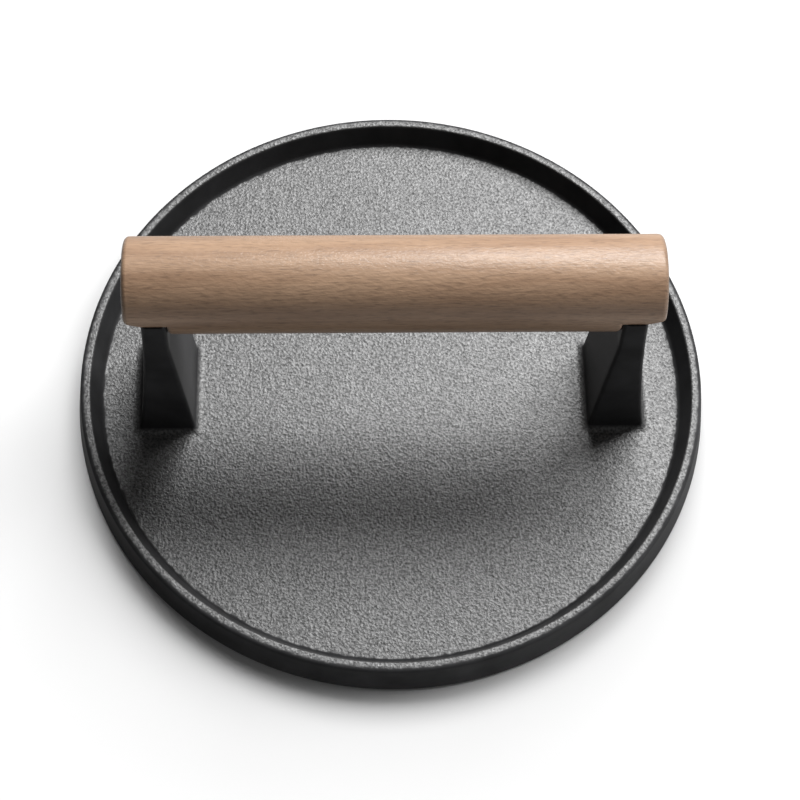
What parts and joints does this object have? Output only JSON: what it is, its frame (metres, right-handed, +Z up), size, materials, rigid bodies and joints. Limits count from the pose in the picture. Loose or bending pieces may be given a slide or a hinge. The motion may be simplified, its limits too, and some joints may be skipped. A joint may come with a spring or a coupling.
{
  "type": "patty press",
  "caption": "Round cast-iron patty press: a flat pressing plate with a raised rim and two cast posts that carry a turned wooden handle.",
  "frame": {"origin": "centre of the flat pressing face under the plate", "axes": "+Z up out of the plate, +X along the handle, +Y across it"},
  "size_m": [0.1778, 0.1778, 0.0766],
  "materials": {
    "cast_iron": "seasoned sand-cast iron, pebbled on the recess and rim, smoother on the walls and posts",
    "beech": "turned beech with a satin lacquer, grain along the handle",
    "steel": "zinc-plated steel",
    "brass": "turned brass"
  },
  "bodies": {
    "root": {"press_casting": "cast_iron", "wooden_handle": "beech", "left_threaded_insert": "brass", "left_flat_washer": "steel", "left_spring_washer": "steel", "left_handle_screw": "steel", "right_threaded_insert": "brass", "right_flat_washer": "steel", "right_spring_washer": "steel", "right_handle_screw": "steel"}
  },
  "joints": []
}
